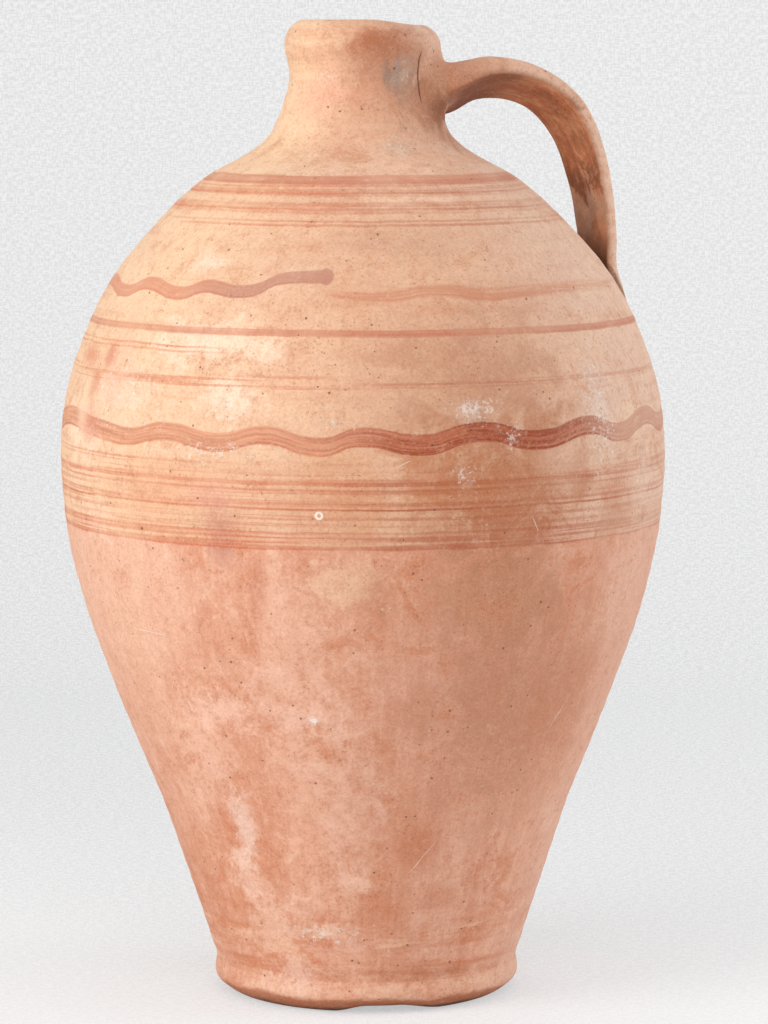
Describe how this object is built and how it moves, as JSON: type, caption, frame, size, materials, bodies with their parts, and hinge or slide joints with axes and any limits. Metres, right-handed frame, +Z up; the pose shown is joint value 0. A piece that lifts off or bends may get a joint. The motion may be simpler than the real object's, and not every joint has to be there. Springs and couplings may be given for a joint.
{
  "type": "water pitcher",
  "caption": "Tall earthenware water pitcher with a swelling belly, small flat foot, short neck, rolled rim and one strap handle from neck to shoulder.",
  "frame": {"origin": "on the pot's axis, at the middle of the face that it rests on", "axes": "+Z up along the pot's axis; +X towards the handle; +Y follows by the right-hand rule"},
  "size_m": [0.2802, 0.2802, 0.45],
  "materials": {
    "foot_clay": "matte unglazed terracotta, worn and darker at the lower edge",
    "bare_clay": "matte unglazed salmon terracotta with orange stains and pits",
    "slipped_clay": "matte buff slip over terracotta, with brushed red-brown bands and waves",
    "handle_clay": "matte buff slip, rubbed and stained brown on the inner face"
  },
  "bodies": {
    "root": {"foot_slab": "foot_clay", "lower_wall": "bare_clay", "upper_wall": "slipped_clay", "neck": "slipped_clay", "rim": "slipped_clay", "strap_handle": "handle_clay", "handle_root": "handle_clay", "tail_lute": "handle_clay"}
  },
  "joints": []
}
